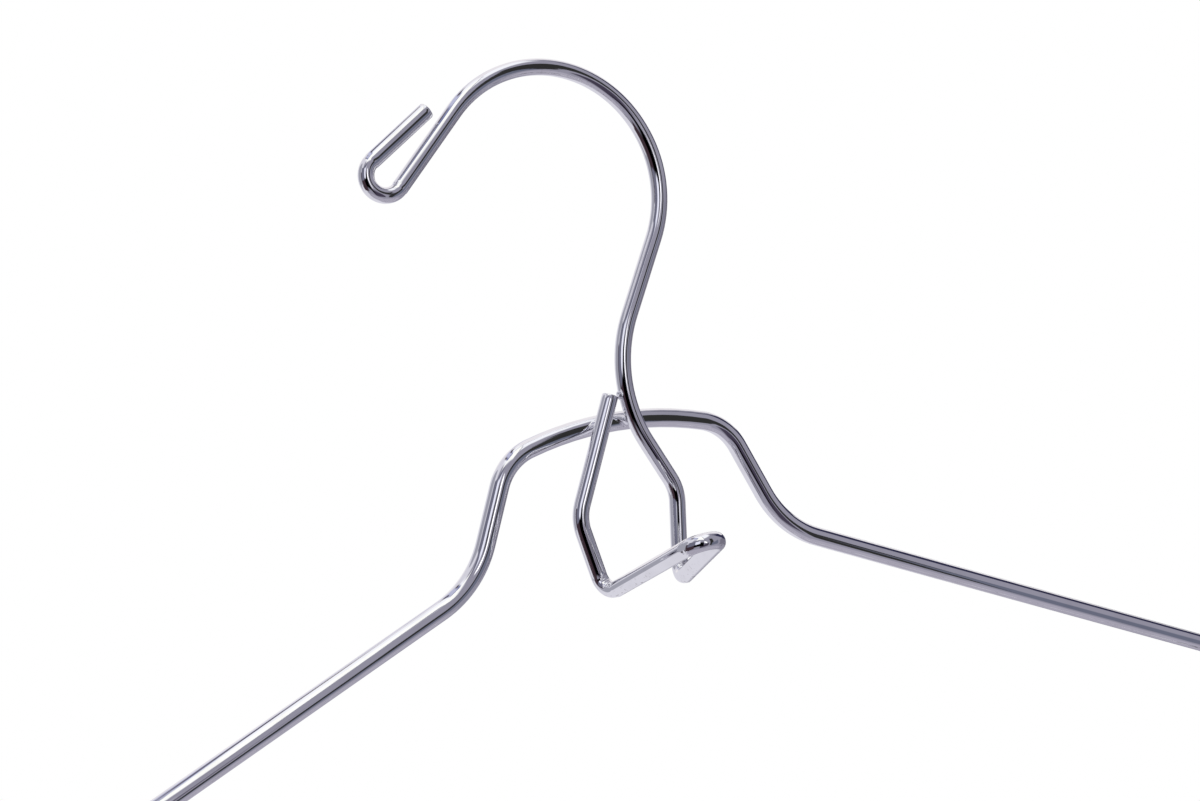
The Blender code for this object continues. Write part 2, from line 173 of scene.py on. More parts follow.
HOOK_RADIUS = (HOOK_INSIDE + HOOK_WIRE) / 2
FRAME_PLANE = (HOOK_WIRE + FRAME_WIRE) / 2 + WELD_GAP
BAR_HALF = (HANGER_WIDTH - FRAME_WIRE) / 2 - END_RADIUS
TUBE_BORE = FRAME_WIRE / 2 + SEAT_GAP
TUBE_OUTSIDE = TUBE_BORE + TUBE_WALL
SPRING_RADIUS = TUBE_OUTSIDE + SPRING_TUBE_GAP + SPRING_WIRE / 2
JAW_INSIDE = SPRING_RADIUS + SPRING_WIRE / 2 + JAW_CLEARANCE
REAR_EAR_OUTSIDE = FRONT_EAR_OUTSIDE + SEAT_GAP + SHEET
FLANGE_INSIDE = REAR_EAR_OUTSIDE + SEAT_GAP
LIP_INSIDE = SEAT_GAP / 2 + PAD_GRIP_WALL + SEAT_GAP
TUBE_END = FLANGE_INSIDE + TUBE_FLANGE_THICKNESS
CLIP_STATION = BAR_HALF - CLIP_END_ROOM - TUBE_END


# Paths of bent wire

def flat_path(start, heading, steps):
    """Points and headings of a wire bent in one plane, as (n, 2) and (n,) arrays.

    A step is (length, 0) for a straight run or (radius, turn) for a bend, left turns positive.
    A run is the start plus the distance times the heading's unit vector, and a bend is its
    centre plus the radius at right angles to the turning heading.
    """
    here = np.array(start, float)
    angle = math.radians(heading)
    points, headings = [here[None]], [np.array([angle])]
    for size, turn in steps:
        if turn == 0:
            count = max(1, round(size / RUN_STEP))
            reach = np.linspace(0, size, count + 1)[1:]
            now = np.full(count, angle)
            run = here + reach[:, None] * np.array([math.cos(angle), math.sin(angle)])
        else:
            count = max(2, math.ceil(abs(turn) / ARC_STEP))
            arm = math.copysign(size, turn)
            centre = here + arm * np.array([-math.sin(angle), math.cos(angle)])
            now = angle + math.radians(turn) * np.arange(1, count + 1) / count
            run = centre + arm * np.stack([np.sin(now), -np.cos(now)], axis=1)
        points.append(run)
        headings.append(now)
        here, angle = run[-1], now[-1]
    return np.concatenate(points), np.concatenate(headings)


def stood_up(points, headings, y):
    """A flat path stood up in the plane at y, as points and unit tangents."""
    level = np.full(len(points), y)
    places = np.stack([points[:, 0], level, points[:, 1]], axis=1)
    tangents = np.stack([np.cos(headings), np.zeros(len(points)), np.sin(headings)], axis=1)
    return places, tangents


def cornered_path(corners, radii):
    """Points and tangents through 3-D corners, each inner corner rounded to its radius.

    A corner's arc lies between the tangents of its two runs: its centre is on their bisector, at
    the radius over the cosine of half the turn, and straight runs of even steps join the arcs.
    """
    points, tangents = [], []
    start = corners[0]
    for before, corner, after, radius in zip(corners, corners[1:], corners[2:], radii):
        back = (before - corner) / np.linalg.norm(before - corner)
        ahead = (after - corner) / np.linalg.norm(after - corner)
        turn = math.pi - math.acos(float(back @ ahead))
        first = corner + back * radius * math.tan(turn / 2)
        bisector = (back + ahead) / np.linalg.norm(back + ahead)
        centre = corner + bisector * radius / math.cos(turn / 2)
        run, way = straight_run(start, first)
        sweep = turn * np.linspace(0, 1, max(3, math.ceil(math.degrees(turn) / ARC_STEP)))[:, None]
        arm = first - centre
        points += [run, centre + arm * np.cos(sweep) - back * radius * np.sin(sweep)]
        tangents += [way, -back * np.cos(sweep) - arm / radius * np.sin(sweep)]
        start = points[-1][-1]
    run, way = straight_run(start, corners[-1], last=True)
    return np.concatenate(points + [run]), np.concatenate(tangents + [way])


def straight_run(start, end, last=False):
    """Evenly spaced points from start to end, without the end unless it is the last of a path."""
    length = np.linalg.norm(end - start)
    count = max(1, round(length / RUN_STEP))
    share = np.linspace(0, 1, count + 1)[1:None if last else -1, None]
    way = np.repeat((end - start)[None] / length, len(share), axis=0)
    return start + (end - start) * share, way


def neck_path(sweep):
    """The wire from the crown down the back of the hook, so many degrees into the neck's bend."""
    steps = [(HOOK_RADIUS, -HOOK_BACK_SWEEP), (NECK_STRAIGHT, 0), (NECK_RADIUS, sweep)]
    return flat_path((0, HOOK_WIRE / 2), 0, steps)


WELD = neck_path(WELD_SWEEP)[0][-1]
BRIDGE = np.array([WELD[0] - WELD_OFFSET, WELD[1]])


def loop_corners():
    """Corners of the stacking loop, from the neck's end round the nose to the left leg's end."""
    back, headings = neck_path(NECK_SWEEP)
    leg = back[-1] + RIGHT_LEG * np.array([math.cos(headings[-1]), math.sin(headings[-1])])
    touch, way = neck_path(LEG_END_SWEEP)
    left = np.array([math.sin(way[-1]), -math.cos(way[-1])])
    end = touch[-1] + left * (HOOK_WIRE + WELD_GAP)
    middle, foot = BRIDGE[0] - LOOP_SHIFT, BRIDGE[1] - FOOT_DROP
    return np.array([
        (back[-1][0], 0, back[-1][1]),
        (leg[0], 0, leg[1]),
        (middle + FOOT_HALF_WIDTH, 0, foot),
        (middle, -NOSE_REACH, foot + NOSE_RISE),
        (middle - FOOT_HALF_WIDTH, 0, foot),
        (middle - LEFT_ELBOW_HALF_WIDTH, 0, BRIDGE[1] - LEFT_ELBOW_DROP),
        (end[0], 0, end[1]),
    ])


def hook_wire_path():
    """Points and tangents of the hook wire, from the folded tip to the left leg's cut end."""
    front_steps = [(HOOK_RADIUS, HOOK_FRONT_SWEEP), (TIP_STRAIGHT, 0), (TIP_RADIUS, -TIP_SWEEP),
                   (TIP_RETURN, 0)]
    front, front_way = flat_path((0, HOOK_WIRE / 2), 180, front_steps)
    back, back_way = neck_path(NECK_SWEEP)
    flat = np.concatenate([front[::-1], back[1:]])
    upper, upper_way = stood_up(flat, np.concatenate([front_way[::-1] + math.pi, back_way[1:]]), 0)
    loop, loop_way = cornered_path(
        loop_corners(), [ELBOW_RADIUS, FOOT_RADIUS, NOSE_RADIUS, FOOT_RADIUS, ELBOW_RADIUS])
    return np.concatenate([upper, loop]), np.concatenate([upper_way, loop_way])


def frame_wire_path():
    """Points and tangents of the closed frame wire, starting and ending at the bar's butt weld."""
    foot_steps = [
        (BRIDGE_RADIUS, -BRIDGE_HALF_SWEEP),
        (RISER_TOP_RADIUS, BRIDGE_HALF_SWEEP - RISER_SLOPE),
        (RISER_STRAIGHT, 0),
        (RISER_FOOT_RADIUS, RISER_SLOPE - SHOULDER_SLOPE),
    ]
    foot_x = flat_path((0, 0), 0, foot_steps)[0][-1][0]
    slope = math.radians(SHOULDER_SLOPE)
    shoulder = (BAR_HALF + END_RADIUS * math.sin(slope) - foot_x) / math.cos(slope)
    end_steps = [(shoulder, 0), (END_RADIUS, SHOULDER_SLOPE - 180), (BAR_HALF, 0)]
    right, way = flat_path((0, 0), 0, foot_steps + end_steps)
    left, left_way = right[::-1] * (-1, 1), math.pi * 2 - way[::-1]
    flat = np.concatenate([left[:-1], right[:-1]]) + BRIDGE
    return stood_up(flat, np.concatenate([left_way[:-1], way[:-1]]), FRAME_PLANE)


# Surfaces

def carried_frames(points, tangents, start):
    """Two unit vectors across the path at each station, carried along it without twist.

    Each station reflects the last pair in the plane between the two points, then in the plane
    between the two tangents, which turns the pair exactly as the path turns.
    """
    across = np.zeros_like(points)
    across[0] = start
    for k in range(len(points) - 1):
        step = points[k + 1] - points[k]
        square = step @ step
        mirrored = across[k] - 2 * (step @ across[k]) / square * step
        tangent = tangents[k] - 2 * (step @ tangents[k]) / square * step
        turn = tangents[k + 1] - tangent
        size = turn @ turn
        across[k + 1] = mirrored - (2 * (turn @ mirrored) / size * turn if size > 1e-18 else 0)
    return across, np.cross(tangents, across)


def along(points):
    """Distance along the path at each station."""
    return np.concatenate([[0], np.cumsum(np.linalg.norm(np.diff(points, axis=0), axis=1))])


def wire_grid(points, tangents, diameter, sides, start=(0, 1, 0), swell=None):
    """A round wire as a grid of rings, and the same points on the wire before it was bent.

    Each ring is the path's point plus the radius times cosine and sine of the angle round it.
    swell adds a share of the radius at each station and angle.
    """
    first, second = carried_frames(points, tangents, start)
    angle = np.linspace(0, 2 * math.pi, sides, endpoint=False)
    cosine, sine = np.cos(angle), np.sin(angle)
    ring = first[:, None] * cosine[None, :, None] + second[:, None] * sine[None, :, None]
    share = swell(points, tangents, ring) if swell else np.zeros(ring.shape[:2])
    grid = points[:, None] + ring * (diameter / 2 * (1 + share))[..., None]
    flow = np.zeros_like(grid)
    flow[..., 0] = along(points)[:, None]
    flow[..., 1] = diameter / 2 * cosine
    flow[..., 2] = diameter / 2 * sine
    return grid, flow


def cut_ends(grid, flow, tangents, diameter):
    """The grid with a broken edge and a slightly hollow cut face at both ends, but for the poles.

    The last ring steps back by the chamfer, and each ring of the face is that ring shrunk to a
    share of its radius and moved along the wire.
    """
    broken = 2 * CHAMFER / diameter
    rows = [(1 - 0.3 * broken, -0.3 * CHAMFER), (1 - broken, 0.0), (0.6, -0.15 * CHAMFER),
            (0.3, -0.3 * CHAMFER)]
    for end, way in ((0, -1), (-1, 1)):
        centre = grid[end].mean(axis=0)
        outward = tangents[end] * way
        ring = grid[end] - centre
        grid[end] -= outward * CHAMFER
        caps = np.array([centre + ring * share + outward * rise for share, rise in rows])
        flows = np.repeat(flow[end][None], len(rows), axis=0)
        if end == 0:
            grid = np.concatenate([caps[::-1], grid])
            flow = np.concatenate([flows, flow])
        else:
            grid = np.concatenate([grid, caps])
            flow = np.concatenate([flow, flows])
    return grid, flow


def grid_faces(rows, columns, ring_rows=False, ring_columns=False):
    """Quads of a grid of points numbered row by row, closed round either way if asked."""
    row = np.arange(rows if ring_rows else rows - 1)[:, None]
    column = np.arange(columns if ring_columns else columns - 1)[None, :]
    next_row, next_column = (row + 1) % rows, (column + 1) % columns
    corners = [row * columns + column, row * columns + next_column,
               next_row * columns + next_column, next_row * columns + column]
    return np.stack([np.broadcast_to(c, corners[0].shape) for c in corners], axis=-1).reshape(-1, 4)


def new_piece(name, points, faces, material, flow=None, scuff=None, fans=(), merge=0.0):
    """A smooth mesh from arrays of points and quads, with its normals facing out.

    Flow, the place along and across the grain, and scuff, a mask of worn spots, become
    attributes. A fan closes a ring of points with triangles round one more point at the ring's
    middle. Points closer together than merge become one.
    """
    points = np.asarray(points, float).reshape(-1, 3)
    faces = [tuple(face) for face in np.asarray(faces).tolist()]
    poles = []
    for ring in fans:
        pole = len(points) + len(poles)
        poles.append(points[ring].mean(axis=0))
        faces += [(ring[k], ring[(k + 1) % len(ring)], pole) for k in range(len(ring))]
    everything = np.concatenate([points, np.array(poles).reshape(-1, 3)])
    mesh = bpy.data.meshes.new(name)
    mesh.from_pydata(everything.tolist(), [], faces)
    for label, values, width, kind, field in (("flow", flow, 3, "FLOAT_VECTOR", "vector"),
                                              ("scuff", scuff, 1, "FLOAT", "value")):
        if values is None:
            continue
        values = np.asarray(values, float).reshape(-1, width)
        ends = [values[ring].mean(axis=0) for ring in fans]
        values = np.concatenate([values, np.array(ends).reshape(-1, width)])
        mesh.attributes.new(label, kind, "POINT").data.foreach_set(field, values.ravel())
    shape = bmesh.new()
    shape.from_mesh(mesh)
    if merge:
        bmesh.ops.remove_doubles(shape, verts=shape.verts, dist=merge)
    bmesh.ops.recalc_face_normals(shape, faces=shape.faces)
    shape.to_mesh(mesh)
    shape.free()
    mesh.shade_smooth()
    mesh.materials.append(material)
    piece = bpy.data.objects.new(name, mesh)
    bpy.context.scene.collection.objects.link(piece)
    return piece


def ringed_piece(name, grid, material, flow=None, scuff=None):
    """A piece from a grid of rings, with a fan that closes its first and its last ring."""
    rows, columns = grid.shape[:2]
    numbers = np.arange(rows * columns).reshape(rows, columns)
    faces = grid_faces(rows, columns, ring_columns=True)
    fans = [numbers[0].tolist(), numbers[-1].tolist()]
    return new_piece(name, grid, faces, material, flow, scuff, fans)


def settle(piece):
    """Apply the piece's modifiers and shade it smooth."""
    shown = piece.evaluated_get(bpy.context.evaluated_depsgraph_get())
    mesh = bpy.data.meshes.new_from_object(shown)
    piece.modifiers.clear()
    piece.data = mesh
    mesh.shade_smooth()


# Materials

def node(tree, kind, **values):
    """A new node with its properties set."""
    made = tree.nodes.new(kind)
    for key, value in values.items():
        setattr(made, key, value)
    return made


def join(tree, source, target):
    """Link an output to an input, or set the input to a plain value."""
    if isinstance(source, bpy.types.NodeSocket):
        tree.links.new(source, target)
    else:
        target.default_value = source


def math_node(tree, operation, *values, clamp=False):
    """The output of a math node on values or sockets."""
    made = node(tree, "ShaderNodeMath", operation=operation, use_clamp=clamp)
    for value, socket in zip(values, made.inputs):
        join(tree, value, socket)
    return made.outputs[0]


def spread(tree, value, low, high, to_low=0.0, to_high=1.0):
    """A value taken from one range to another by a smooth step, held at its ends."""
    made = node(tree, "ShaderNodeMapRange", interpolation_type="SMOOTHSTEP")
    for item, socket in zip((value, low, high, to_low, to_high), made.inputs):
        join(tree, item, socket)
    return made.outputs[0]


def blended(tree, share, first, second):
    """A colour that share takes from the first to the second."""
    made = node(tree, "ShaderNodeMix", data_type="RGBA")
    for label, item in (("Factor", share), ("A", first), ("B", second)):
        join(tree, item, made.inputs[label])
    return made.outputs["Result"]


def noise(tree, place, scale, detail):
    """The value of a noise at a place, with so many features per metre and finer octaves."""
    made = node(tree, "ShaderNodeTexNoise")
    made.inputs["Scale"].default_value = scale
    made.inputs["Detail"].default_value = detail
    tree.links.new(place, made.inputs["Vector"])
    return made.outputs["Fac"]


def raise_relief(tree, height, shader, strength, depth):
    """Bump the shader's normal by a height, whose unit is worth the depth."""
    made = node(tree, "ShaderNodeBump")
    made.inputs["Strength"].default_value = strength
    made.inputs["Distance"].default_value = depth
    tree.links.new(height, made.inputs["Height"])
    tree.links.new(made.outputs["Normal"], shader.inputs["Normal"])


def new_material(name):
    """An empty material, its node tree and its shader."""
    material = bpy.data.materials.new(name)
    material.use_nodes = True
    return material, material.node_tree, material.node_tree.nodes["Principled BSDF"]


def new_group(name, inputs, outputs):
    """An empty shader node group with named sockets, and its input and output nodes."""
    group = bpy.data.node_groups.new(name, "ShaderNodeTree")
    for way, sockets in (("INPUT", inputs), ("OUTPUT", outputs)):
        for label, kind in sockets:
            group.interface.new_socket(label, in_out=way, socket_type=kind)
    return group, group.nodes.new("NodeGroupInput"), group.nodes.new("NodeGroupOutput")


def drawn_metal_group():
    """Plated metal drawn along its length: fine lines, broad waves, soft smudges and pits.

    Flow is the place on the piece with X along the grain. Noise stretched along X gives the
    lines, broad noise gives the waves and smudges, and the tops of a fine noise give the pits.
    """
    number, vector = "NodeSocketFloat", "NodeSocketVector"
    group, given, result = new_group(
        "drawn metal",
        [("Flow", vector), ("Lines", number), ("Waves", number), ("Smudges", number),
         ("Pits", number), ("Roughness", number)],
        [("Height", number), ("Roughness", number), ("Tone", number)])
    place = given.outputs["Flow"]
    stretch = node(group, "ShaderNodeVectorMath", operation="MULTIPLY")
    group.links.new(place, stretch.inputs[0])
    stretch.inputs[1].default_value = (0.012, 1.0, 1.0)
    lines = noise(group, stretch.outputs[0], scale=5200.0, detail=3.0)
    smudges = noise(group, place, scale=160.0, detail=4.0)
    pits = noise(group, place, scale=1500.0, detail=2.0)
    waves = noise(group, place, scale=110.0, detail=0.0)

    line = math_node(group, "SUBTRACT", lines, 0.5)
    line = math_node(group, "MULTIPLY", line, given.outputs["Lines"])
    pit = spread(group, pits, 0.60, 0.68)
    pit = math_node(group, "MULTIPLY", pit, given.outputs["Pits"])
    height = math_node(group, "SUBTRACT", line, pit)
    height = math_node(group, "MULTIPLY_ADD", waves, given.outputs["Waves"], height)
    group.links.new(height, result.inputs["Height"])

    patch = spread(group, smudges, 0.46, 0.68)
    patch = math_node(group, "MULTIPLY", patch, given.outputs["Smudges"])
    rough = math_node(group, "MULTIPLY_ADD", patch, 0.10, given.outputs["Roughness"])
    rough = math_node(group, "MULTIPLY_ADD", pit, 0.25, rough)
    group.links.new(rough, result.inputs["Roughness"])
    tone = math_node(group, "MULTIPLY_ADD", patch, 0.35, pit, clamp=True)
    group.links.new(tone, result.inputs["Tone"])
    return group


def metal(name, group, bright, dull, roughness, lines, smudges, pits, bump, waves=0.0,
          along_flow=True, scuffs=False):
    """A plated metal whose grain, smudges and pits come from the shared group.

    Bright and dull are its clean and its smudged colour. The grain follows the piece's flow, or
    else the object. Where the metal scuffs, pits count only in the piece's scuff mask.
    """
    material, tree, shader = new_material(name)
    shader.inputs["Metallic"].default_value = 1.0
    if along_flow:
        place = node(tree, "ShaderNodeAttribute", attribute_name="flow").outputs["Vector"]
    else:
        place = node(tree, "ShaderNodeTexCoord").outputs["Object"]
    if scuffs:
        mask = node(tree, "ShaderNodeAttribute", attribute_name="scuff").outputs["Fac"]
        pits = math_node(tree, "MULTIPLY", mask, pits)
    finish = node(tree, "ShaderNodeGroup", node_tree=group)
    for label, item in (("Flow", place), ("Lines", lines), ("Waves", waves), ("Smudges", smudges),
                        ("Pits", pits), ("Roughness", roughness)):
        join(tree, item, finish.inputs[label])
    colour = blended(tree, finish.outputs["Tone"], (*bright, 1.0), (*dull, 1.0))
    tree.links.new(colour, shader.inputs["Base Color"])
    tree.links.new(finish.outputs["Roughness"], shader.inputs["Roughness"])
    raise_relief(tree, finish.outputs["Height"], shader, strength=bump, depth=0.00002)
    return material


def vinyl(name):
    """Soft black vinyl: a satin skin with a fine grain and a few lighter rubbed patches."""
    material, tree, shader = new_material(name)
    shader.inputs["Specular IOR Level"].default_value = 0.45
    place = node(tree, "ShaderNodeTexCoord").outputs["Object"]
    grain = noise(tree, place, scale=2600.0, detail=3.0)
    rub = spread(tree, noise(tree, place, scale=210.0, detail=5.0), 0.42, 0.72)
    colour = blended(tree, rub, (0.013, 0.013, 0.015, 1.0), (0.026, 0.026, 0.029, 1.0))
    tree.links.new(colour, shader.inputs["Base Color"])
    tree.links.new(math_node(tree, "MULTIPLY_ADD", rub, 0.16, 0.34), shader.inputs["Roughness"])
    raise_relief(tree, grain, shader, strength=0.35, depth=0.00003)
    return material


drawn = drawn_metal_group()
CHROME = metal("bright chrome wire", drawn, (0.90, 0.90, 0.92), (0.45, 0.43, 0.42), 0.035,
               lines=1.0, smudges=0.25, pits=1.0, bump=0.25, scuffs=True)
SHEET_CHROME = metal("chrome sheet", drawn, (0.88, 0.88, 0.89), (0.68, 0.68, 0.70), 0.20,
                     lines=0.12, smudges=1.0, pits=0.0, bump=0.3, waves=22.0, along_flow=False)
RIVET = metal("plated rivet", drawn, (0.80, 0.80, 0.81), (0.60, 0.60, 0.62), 0.18,
              lines=0.15, smudges=0.8, pits=0.0, bump=0.3, along_flow=False)
SPRING = metal("nickel spring wire", drawn, (0.66, 0.65, 0.64), (0.42, 0.41, 0.40), 0.17,
               lines=0.5, smudges=1.0, pits=0.1, bump=0.3)
VINYL = vinyl("soft black vinyl")


# Wires

def inner_side(points, tangents):
    """How sharply the wire bends at each station, and the unit vector to the bend's inside."""
    step = np.gradient(along(points))
    curl = np.gradient(tangents, axis=0) / step[:, None]
    size = np.linalg.norm(curl, axis=1)
    return size, curl / np.maximum(size, 1e-9)[:, None]


def bent_swell(points, tangents, ring):
    """How bending changes the round section, as a share of the radius.

    Tight bends are flattened by a share of the squared cosine to the bend's inside, and the
    inside of the tightest ones is gathered into small cosine ripples along the wire.
    """
    size, inside = inner_side(points, tangents)
    facing = np.einsum("nsk,nk->ns", ring, inside)
    tight = np.clip(size * TIP_RADIUS, 0, 1.2)[:, None] ** 2
    flat = -BEND_FLATTENING * tight * facing ** 2 + BEND_SPREADING * tight * (1 - facing ** 2)
    foot_from, foot_soft, inside_from = 0.93, 0.05, 0.72
    foot = np.clip((size * FOOT_RADIUS - foot_from) / foot_soft, 0, 1)[:, None]
    ripple = 0.5 + 0.5 * np.cos(2 * math.pi * along(points) / PRESS_MARK_PITCH)[:, None]
    inmost = np.clip((facing - inside_from) / (1 - inside_from), 0, 1)
    return flat - PRESS_MARK_DEPTH * foot * ripple * inmost ** 2


def weld_swell(points, tangents, ring):
    """The butt weld in the bar, where the path's two ends meet: a bell-shaped ridge less a seam."""
    distance = along(points)
    total = distance[-1] + np.linalg.norm(points[0] - points[-1])
    nearest = np.minimum(distance, total - distance)[:, None]
    ridge = BUTT_WELD_RISE * np.exp(-(nearest / BUTT_WELD_HALF_WIDTH) ** 2)
    seam = BUTT_SEAM_DEPTH * np.exp(-(nearest / BUTT_SEAM_HALF_WIDTH) ** 2)
    return ridge - seam + 0 * ring[..., 0]


def add_wires():
    """The hook wire with its cut ends, and the frame wire as one closed ring.

    The hook wire's underside is scuffed along the nose's arms and a little on its cut ends.
    """
    points, tangents = hook_wire_path()
    grid, flow = wire_grid(points, tangents, HOOK_WIRE, WIRE_SIDES, swell=bent_swell)
    low = np.clip(-(grid[..., 2] - points[:, None, 2]) / (HOOK_WIRE / 2), 0, 1)
    nose = (np.clip(-grid[..., 1] / SCUFF_FADE_IN, 0, 1)
            * np.clip((grid[..., 1] + SCUFF_END) / SCUFF_FADE_OUT, 0, 1))
    bent_rows = len(grid)
    grid, flow = cut_ends(grid, flow, tangents, HOOK_WIRE)
    face = np.full(((len(grid) - bent_rows) // 2, WIRE_SIDES), CUT_END_SCUFF)
    scuff = np.concatenate([face, low * nose, face])
    hook = ringed_piece("hook_wire_surface", grid, CHROME, flow, scuff)
    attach(hook, "root")
    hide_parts("hook_wire")

    points, tangents = frame_wire_path()
    grid, flow = wire_grid(points, tangents, FRAME_WIRE, WIRE_SIDES, swell=weld_swell)
    faces = grid_faces(len(grid), WIRE_SIDES, ring_rows=True, ring_columns=True)
    ring = new_piece("frame_wire_surface", grid, faces, CHROME, flow, np.zeros(grid.shape[:2]))
    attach(ring, "root")
    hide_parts("frame_wire")


def weld_nugget(name, centre, axes, seed):
    """Metal pressed out between two welded wires: a flattened ball with uneven edges.

    A grid of latitude and longitude, stretched along three axes given as half sizes, whose
    radius wavers with the sum of a few cosines.
    """
    rows, columns = 13, 28
    rise = np.linspace(-math.pi / 2, math.pi / 2, rows + 2)[1:-1, None]
    turn = np.linspace(0, 2 * math.pi, columns, endpoint=False)[None, :]
    draw = np.random.default_rng(seed)
    waver = sum(draw.uniform(0.02, 0.06) * np.cos(k * turn + draw.uniform(0, 6.3))
                for k in (2, 3, 5, 8))
    reach = 1 + waver * np.cos(rise)
    ball = np.stack([np.cos(rise) * np.cos(turn) * reach, np.cos(rise) * np.sin(turn) * reach,
                     np.sin(rise) * np.ones_like(turn)], axis=-1)
    grid = np.asarray(centre) + ball @ np.asarray(axes)
    flow = grid - np.asarray(centre)
    piece = ringed_piece(name, grid, CHROME, flow, np.zeros((rows, columns)))
    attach(piece, "root")


def add_welds():
    """The three spot welds: neck on bridge, left leg on bridge, and the leg's end on the neck."""
    corners = loop_corners()
    elbow, end = corners[-2], corners[-1]
    contact = HOOK_WIRE / 2 + WELD_GAP / 2
    level = BRIDGE[1] - LEG_WELD_DROP
    share = (level - elbow[2]) / (end[2] - elbow[2])
    leg_x = elbow[0] + share * (end[0] - elbow[0])
    touch, way = neck_path(LEG_END_SWEEP)
    left = np.array([math.sin(way[-1]), 0, -math.cos(way[-1])])
    run = np.array([math.cos(way[-1]), 0, math.sin(way[-1])])
    meeting = np.array([touch[-1][0], 0, touch[-1][1]]) + left * (HOOK_WIRE + WELD_GAP) / 2
    flat = (0, NUGGET_HALF_THICKNESS, 0)
    weld_nugget("neck_weld", (WELD[0], contact, WELD[1]),
                ((0.0011, 0, 0.0002), (0, 0, 0.0010), flat), seed=3)
    weld_nugget("leg_weld", (leg_x, contact, level),
                ((0.0010, 0, 0), (0, 0, 0.0010), flat), seed=7)
    weld_nugget("leg_end_weld", meeting + run * 0.0004,
                (run * 0.0009, (0, 0.0007, 0), left * NUGGET_HALF_THICKNESS), seed=11)


add_wires()
add_welds()


# Clips. A clip's own places are measured from the bar's axis, then moved to its station.

def eased(share):
    """A share of the way, held between 0 and 1, with a soft start and stop."""
    share = np.clip(share, 0, 1)
    return share ** 2 * (3 - 2 * share)


def jaw_line():
    """The inside line of a jaw, (out, up), from the top of its tab down to its lip, finely cut."""
    tab_top_out = JAW_INSIDE + (TAB_TOP_UP - TAB_ROOT_UP) * math.tan(math.radians(TAB_LEAN))
    corners = np.array([(tab_top_out, 0, TAB_TOP_UP), (JAW_INSIDE, 0, TAB_ROOT_UP),
                        (JAW_INSIDE, 0, -THROAT_DROP), (LIP_INSIDE, 0, -MOUTH_DROP),
                        (LIP_INSIDE, 0, -LIP_DROP)])
    line = cornered_path(corners, [SHEET_BEND] * 3)[0]
    line = np.concatenate([corners[:1], line])
    return along(line), line[:, 0], line[:, 2]


def jaw_grid(ear_outside):
    """The middle surface of a pressed jaw: rows down its profile, columns across it.

    Across, a row is a flat strip with a cosine rib, a quarter-circle bend and a flange at either
    edge. The flange deepens into a round ear at the pivot and fades out at the tab and the lip.
    """
    marks, outs, ups = jaw_line()
    corner = CORNER_RADIUS * (1 - np.cos(np.radians(np.arange(0, 91, 9))))
    ear = EAR_REACH * np.cos(np.radians(np.arange(0, 181, 7.5)))
    root = np.concatenate([side * np.linspace(1.03, 1.7, 9) * EAR_REACH for side in (-1, 1)])
    heights = np.interp(np.concatenate([ear, root]), ups[::-1], marks[::-1])
    even = np.linspace(0, marks[-1], JAW_ROWS)
    stations = np.unique(np.round(np.concatenate([corner, marks[-1] - corner, heights, even]), 6))
    keep = np.concatenate([[True], np.diff(stations) > LEAST_JAW_ROW])
    stations = stations[keep]
    stations[-1] = marks[-1]
    outs, ups = np.interp(stations, marks, outs), np.interp(stations, marks, ups)
    slopes = np.gradient(np.stack([outs, ups], axis=1), stations, axis=0)
    slopes /= np.linalg.norm(slopes, axis=1)[:, None]
    normals = np.stack([-slopes[:, 1], slopes[:, 0]], axis=1)
    middle = np.stack([outs, ups], axis=1) + normals * SHEET / 2

    edge = ear_outside - SHEET / 2
    width = np.interp(-ups, [-TAB_TOP_UP, -TAB_ROOT_UP, THROAT_DROP, MOUTH_DROP],
                      [TAB_TOP_HALF_WIDTH, edge, edge, MOUTH_HALF_WIDTH])
    almost_whole = 0.999
    for end in (stations, stations[-1] - stations):
        inset = np.clip(1 - end / CORNER_RADIUS, 0, 1)
        width = width - CORNER_RADIUS * (1 - np.sqrt(1 - inset ** 2)) * almost_whole

    ear_depth = middle[:, 0] + np.sqrt(np.clip(EAR_REACH ** 2 - ups ** 2, 0, None))
    beyond = np.clip((np.abs(ups) - EAR_REACH) / (EAR_FADE * EAR_REACH), 0, 1)
    earness = (1 - beyond) ** 2
    from_ends = np.minimum(stations, stations[-1] - (LIP_DROP - MOUTH_DROP) - stations)
    plain = SIDE_FLANGE * eased(from_ends / (2 * CORNER_RADIUS) - 0.5)
    depth = np.maximum(ear_depth * earness, plain)
    level = np.stack([np.ones_like(ups), np.zeros_like(ups)], axis=1)
    flange_way = normals + (level - normals) * earness[:, None]

    rib = (RIB_HEIGHT * eased((RIB_TOP_UP - ups) / RIB_RAMP)
           * eased((ups + RIB_BOTTOM_DROP) / RIB_RAMP))
    bend = np.minimum(EAR_BEND, depth)
    spare = EAR_BEND - bend
    bend_turns = np.radians(np.arange(0, 91, 15))
    columns = []
    for share in np.linspace(0, 1, 9):
        rise = rib * (0.5 + 0.5 * math.cos(math.pi * share))
        columns.append((share * RIB_HALF_WIDTH * np.ones_like(ups), rise[:, None] * normals))
    flat_edge = width - bend - spare
    for share in (0.35, 0.7):
        across = RIB_HALF_WIDTH + (flat_edge - RIB_HALF_WIDTH) * share
        columns.append((across, 0 * normals))
    for step, turn in enumerate(bend_turns):
        across = width - bend * (1 - math.sin(turn)) - spare * (1 - step / len(bend_turns))
        columns.append((across, -(bend * (1 - math.cos(turn)))[:, None] * flange_way))
    for share in (0.33, 0.66, 1.0):
        reach = bend + (depth - bend) * share
        columns.append((width, -reach[:, None] * flange_way))
    columns = [(-across, shift) for across, shift in reversed(columns[1:])] + columns
    grid = np.zeros((len(stations), len(columns), 3))
    for k, (across, shift) in enumerate(columns):
        grid[:, k, 0] = across
        grid[:, k, 1] = middle[:, 0] + shift[:, 0]
        grid[:, k, 2] = middle[:, 1] + shift[:, 1]
    return grid


